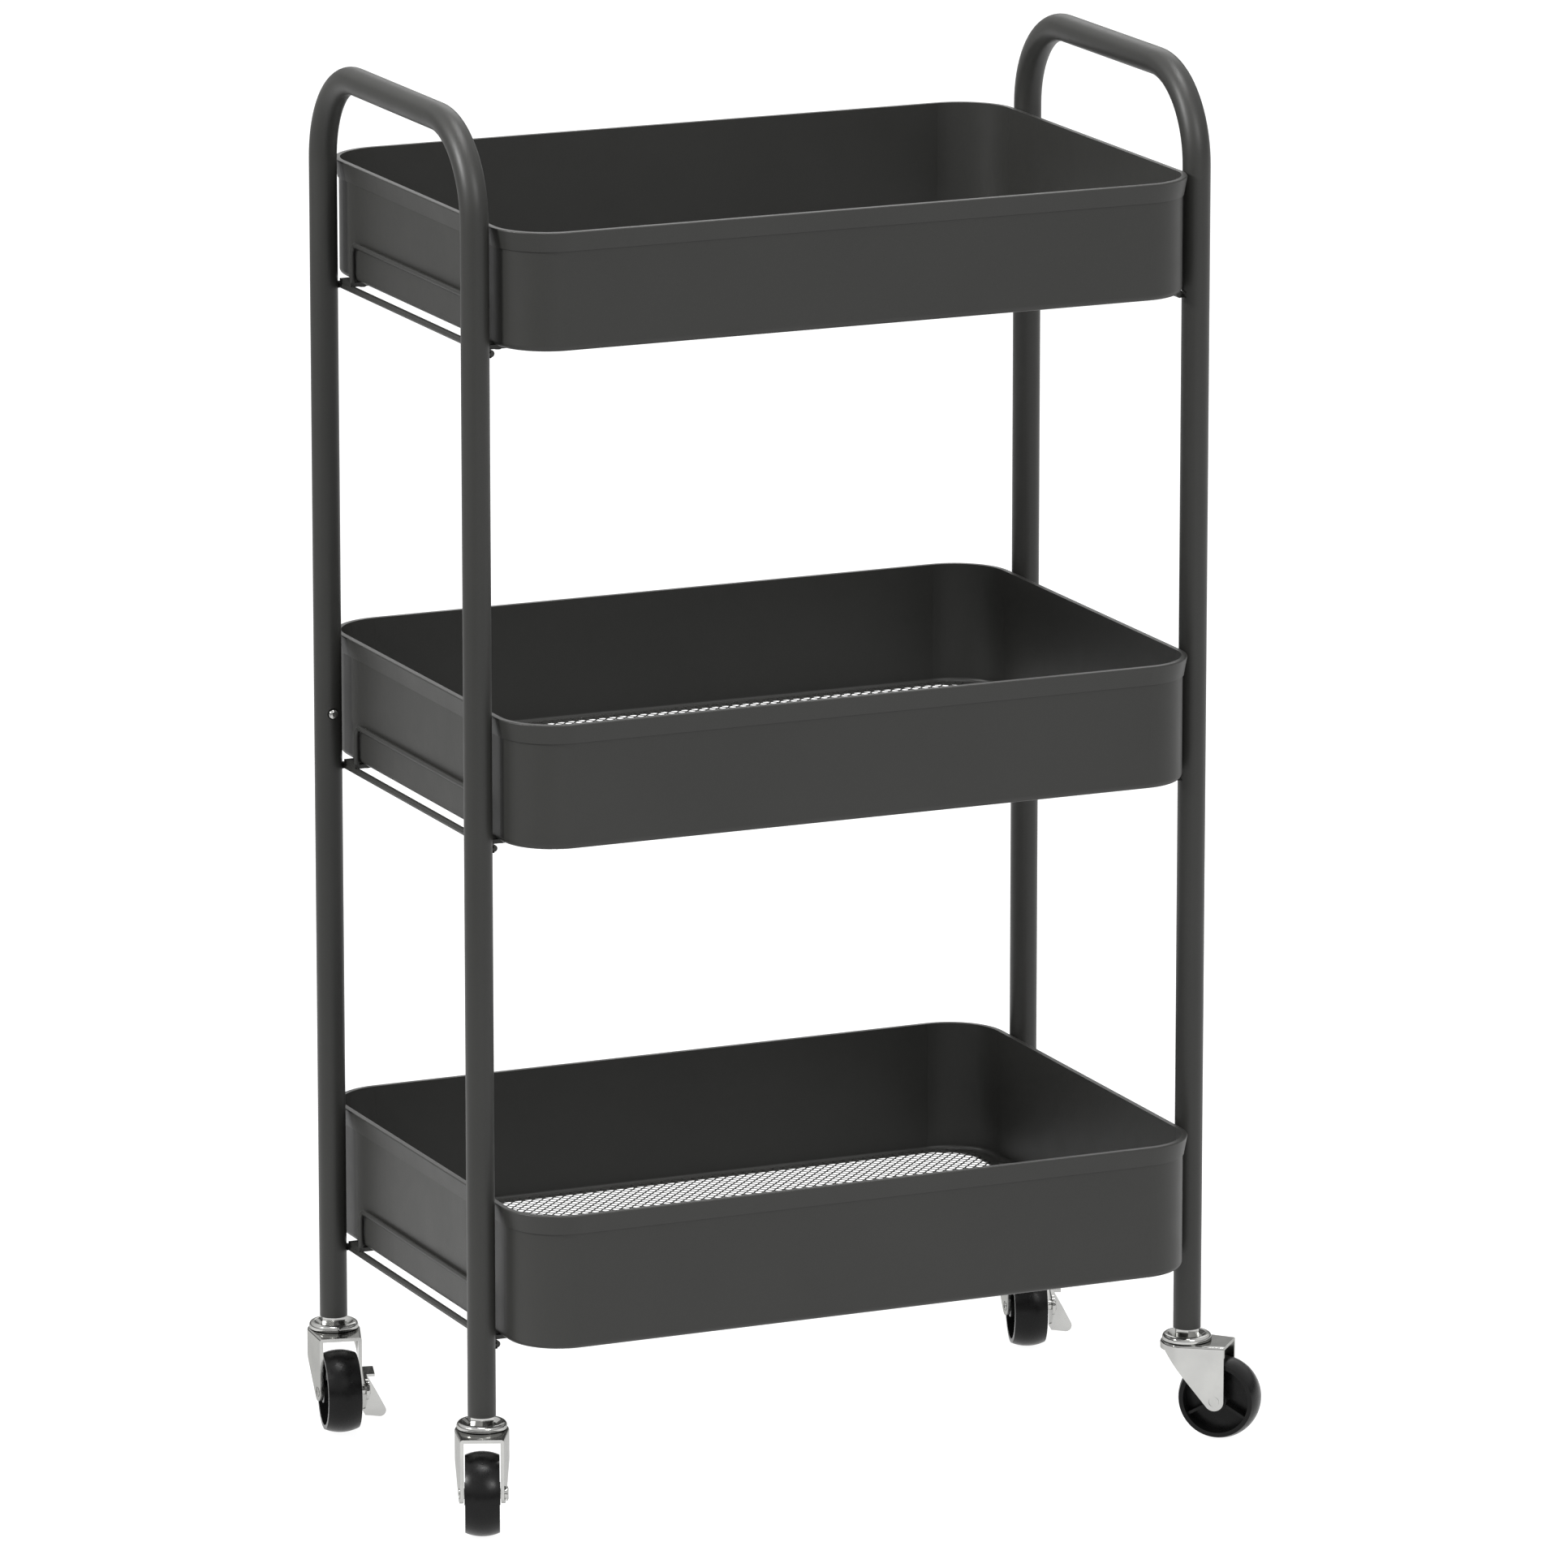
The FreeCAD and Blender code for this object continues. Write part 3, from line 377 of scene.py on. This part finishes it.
def bead_run(made, centre, length, width, height, rng):
    """A short run of weld along Y: overlapping ripples that taper at both ends."""
    steps, across = 14, 8
    rings = []
    for i in range(steps + 1):
        share = i / steps
        swell = math.sqrt(max(0.0, 1 - (2 * share - 1) ** 2)) * (1 + 0.16 * math.sin(i * 2.4))
        swell = max(swell * rng.uniform(0.92, 1.08), 0.08)
        place = Vector(centre) + Vector((0, (share - 0.5) * length, 0))
        rings.append([made.verts.new(place + Vector((width / 2 * swell * math.cos(turn), 0,
                                                     height / 2 * swell * math.sin(turn))))
                      for turn in (2 * math.pi * j / across for j in range(across))])
    for here, following in zip(rings, rings[1:]):
        for j in range(across):
            k = (j + 1) % across
            made.faces.new((here[j], here[k], following[k], following[j]))
    made.faces.new(rings[0])
    made.faces.new(list(reversed(rings[-1])))


def bracket_welds(tier, side):
    """The welds that hold a bracket's rod to its posts, and its hoop and tabs to the rod."""
    sign = SIDES[side]
    rng = random.Random(f"{tier}{side}")
    low, high = (Vector(corner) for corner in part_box(f"{tier}_{side}_bracket"))
    wire = (low.x if sign < 0 else high.x) - sign * ROD_RADIUS
    rod = low.z + ROD_RADIUS
    post = abs(sum(Vector(c).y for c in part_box("front_left_post"))) / 2
    made = bmesh.new()
    for depth in (-1, 1):
        for height in (-1, 1):
            place = (wire + sign * POST_RUN_OUT, depth * post, rod + height * POST_RUN_OUT)
            bead_run(made, place, *POST_RUN, rng)
        place = (wire, depth * HOOP_FOOT, rod + HOOP_RING_UP)
        bead_ring(made, place, (0, 0, 1), *HOOP_RING, rng)
        place = (wire - sign * TAB_RUN_IN, depth * TAB_MIDDLE, rod + TAB_RUN_UP)
        bead_run(made, place, *TAB_RUN, rng)
    bmesh.ops.recalc_face_normals(made, faces=made.faces)
    welds = linked(f"{tier}_{side}_welds", made)
    for polygon in welds.data.polygons:
        polygon.use_smooth = True
    smooth = welds.modifiers.new("smooth", "SUBSURF")
    smooth.levels = smooth.render_levels = 1
    paint(welds, "powder_coat")
    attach(welds, "frame")


# ---- the pieces that the CAD already shapes ----

for entry in frame["record"]["subparts"]:
    paint(frame["nodes"][entry["node"]], entry["material_slot"])

for tier in TIERS:
    expanded_floor(tier)
    for side in SIDES:
        bracket_welds(tier, side)


# ---- studio ----

def studio():
    """A white floor, a small key on the left, three soft lights and a pale surround."""
    made = bmesh.new()
    bmesh.ops.create_grid(made, x_segments=2, y_segments=2, size=FLOOR_SIZE)
    floor = linked("studio_floor", made)
    pale = Shader("studio_floor", Roughness=0.9, Specular_IOR_Level=0.1)
    pale.colour(pale.colours(pale.noise(0.8, 2), (0.3, (0.14, 0.14, 0.14)),
                             (0.7, (0.16, 0.16, 0.16))))
    pale.shader.inputs["Emission Color"].default_value = (1, 1, 1, 1)
    across = pale.node("ShaderNodeSeparateXYZ")
    pale.join(pale.place, across.inputs["Vector"])
    pale.join(pale.spread(across.outputs["X"], FLOOR_GLOW_LEFT, FLOOR_GLOW, *FLOOR_FADE),
              pale.shader.inputs["Emission Strength"])
    floor.data.materials.append(pale.material)

    world = bpy.data.worlds.new("studio")
    bpy.context.scene.world = world
    world.use_nodes = True
    nodes, links = world.node_tree.nodes, world.node_tree.links
    background = nodes["Background"]
    background.inputs["Strength"].default_value = WORLD_STRENGTH
    split = nodes.new("ShaderNodeSeparateXYZ")
    links.new(nodes.new("ShaderNodeTexCoord").outputs["Generated"], split.inputs["Vector"])
    bands = nodes.new("ShaderNodeValToRGB")
    while len(bands.color_ramp.elements) < len(WORLD_BANDS):
        bands.color_ramp.elements.new(0.5)
    for element, (position, level) in zip(bands.color_ramp.elements, WORLD_BANDS):
        element.position = position
        element.color = (level, level, level, 1)
    links.new(split.outputs["Z"], bands.inputs["Fac"])
    links.new(bands.outputs["Color"], background.inputs["Color"])

    target = Vector(LIGHT_TARGET)
    for name, place, size, power in LIGHTS:
        data = bpy.data.lights.new(name, "AREA")
        data.shape = "SQUARE"
        data.size = size
        data.energy = power
        lamp = bpy.data.objects.new(name, data)
        lamp.location = place
        lamp.rotation_euler = (target - Vector(place)).to_track_quat("-Z", "Y").to_euler()
        bpy.context.collection.objects.link(lamp)


def camera():
    data = bpy.data.cameras.new("camera")
    data.sensor_width = 36
    data.lens = CAMERA_LENS
    data.clip_end = 100
    view = bpy.data.objects.new("camera", data)
    view.location = CAMERA_PLACE
    view.rotation_euler = (math.radians(90 - CAMERA_PITCH), 0, -math.radians(CAMERA_AZIMUTH))
    bpy.context.collection.objects.link(view)
    bpy.context.scene.camera = view


studio()
camera()
# AgX would turn the plain white background grey
bpy.context.scene.view_settings.view_transform = "Standard"
